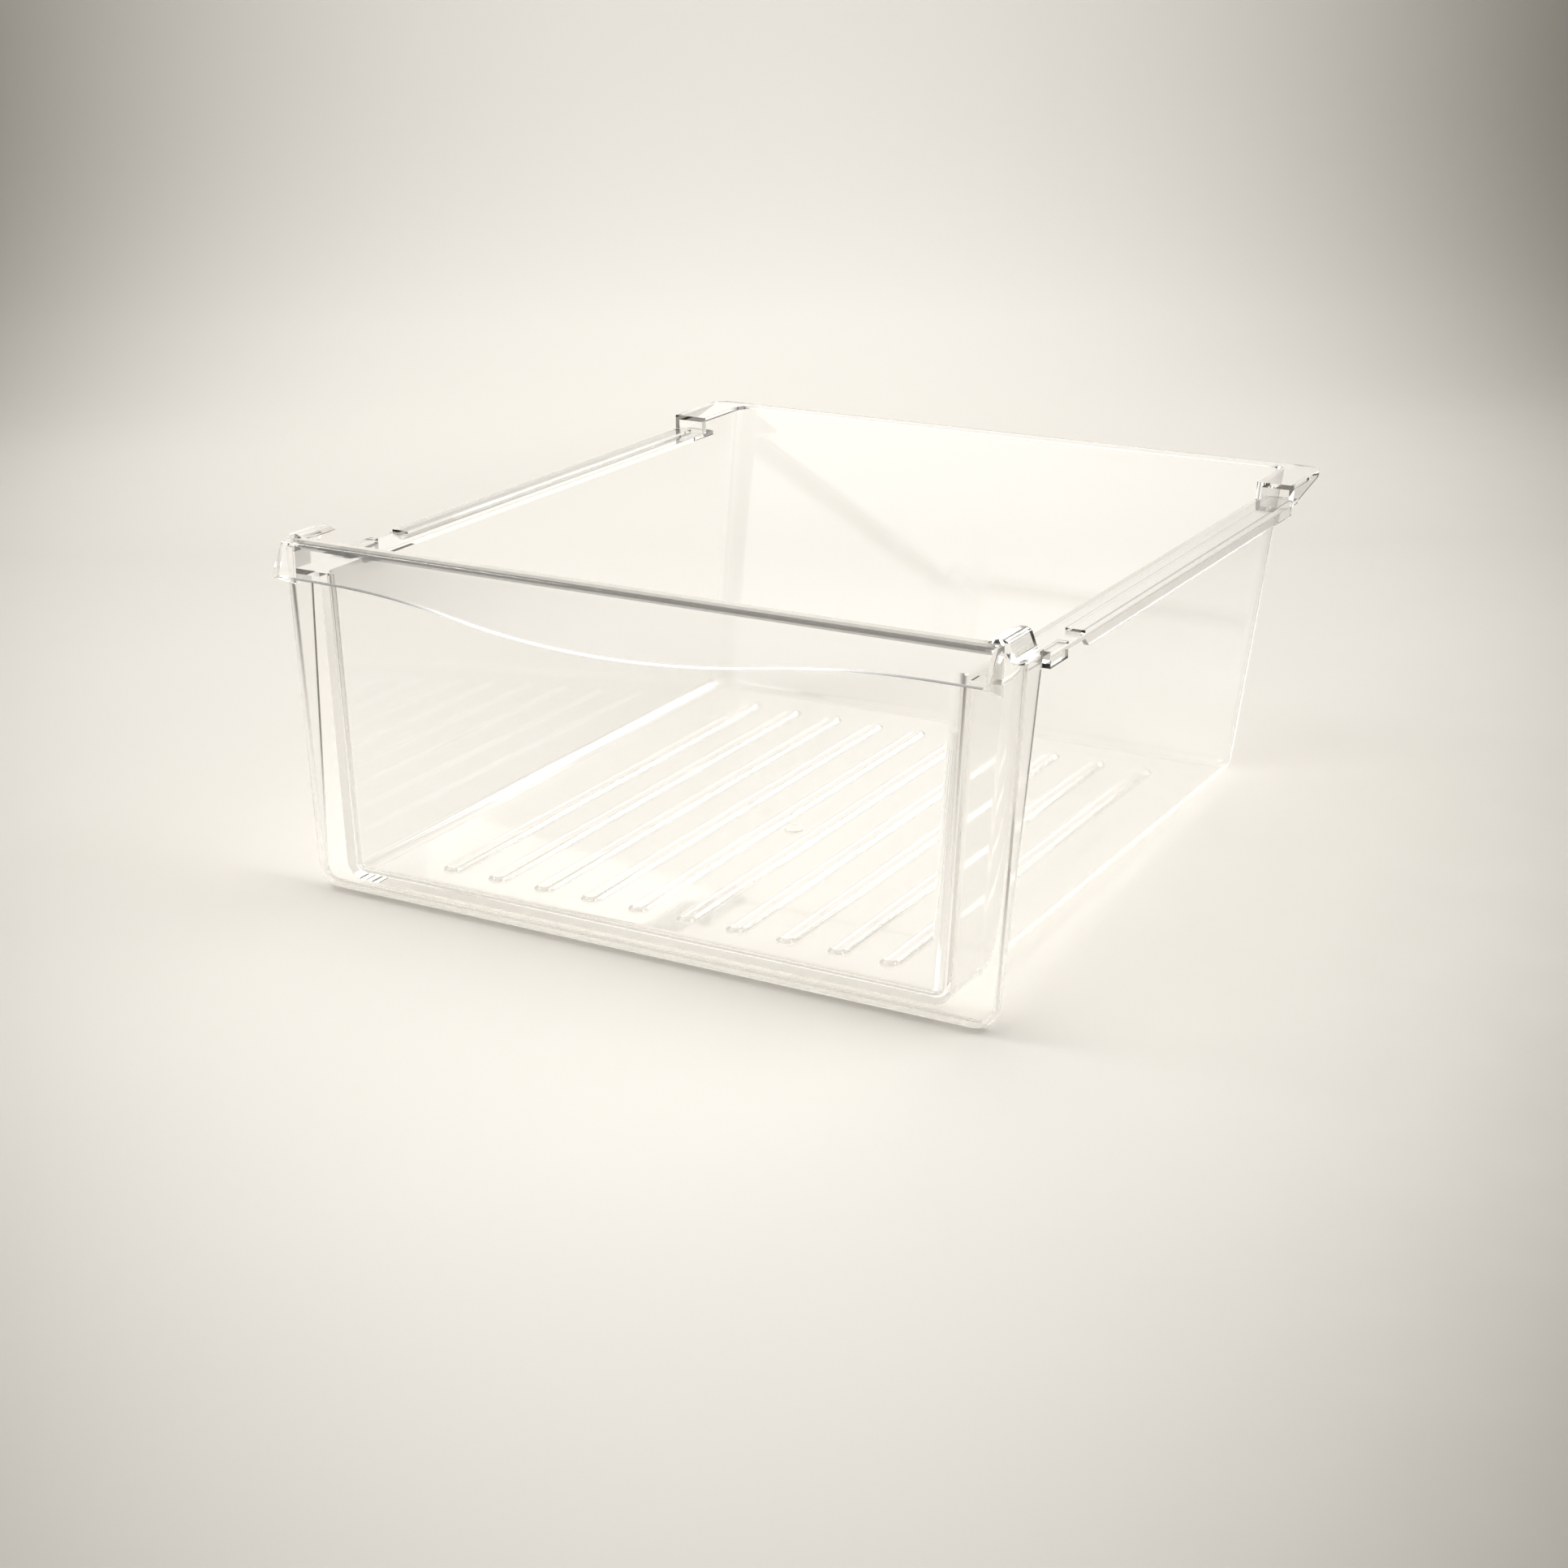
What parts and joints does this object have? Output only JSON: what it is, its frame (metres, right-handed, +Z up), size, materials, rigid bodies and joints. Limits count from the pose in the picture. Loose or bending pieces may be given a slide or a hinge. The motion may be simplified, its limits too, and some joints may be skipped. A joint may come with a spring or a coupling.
{
  "type": "fridge crisper drawer",
  "caption": "Clear moulded crisper drawer for a fridge, with a hooded finger lip, ridged floor, sloping rear wall, side rails to hang from and raised rear wings.",
  "frame": {"origin": "middle of the bounding box at the height of the front panel's bottom edge", "axes": "+X to the right seen from the front, +Y to the back, +Z up"},
  "size_m": [0.3668, 0.4084, 0.171],
  "materials": {
    "clear_plastic": "clear glossy moulded polystyrene"
  },
  "bodies": {
    "root": {"drawer_pan": "clear_plastic"}
  },
  "joints": []
}
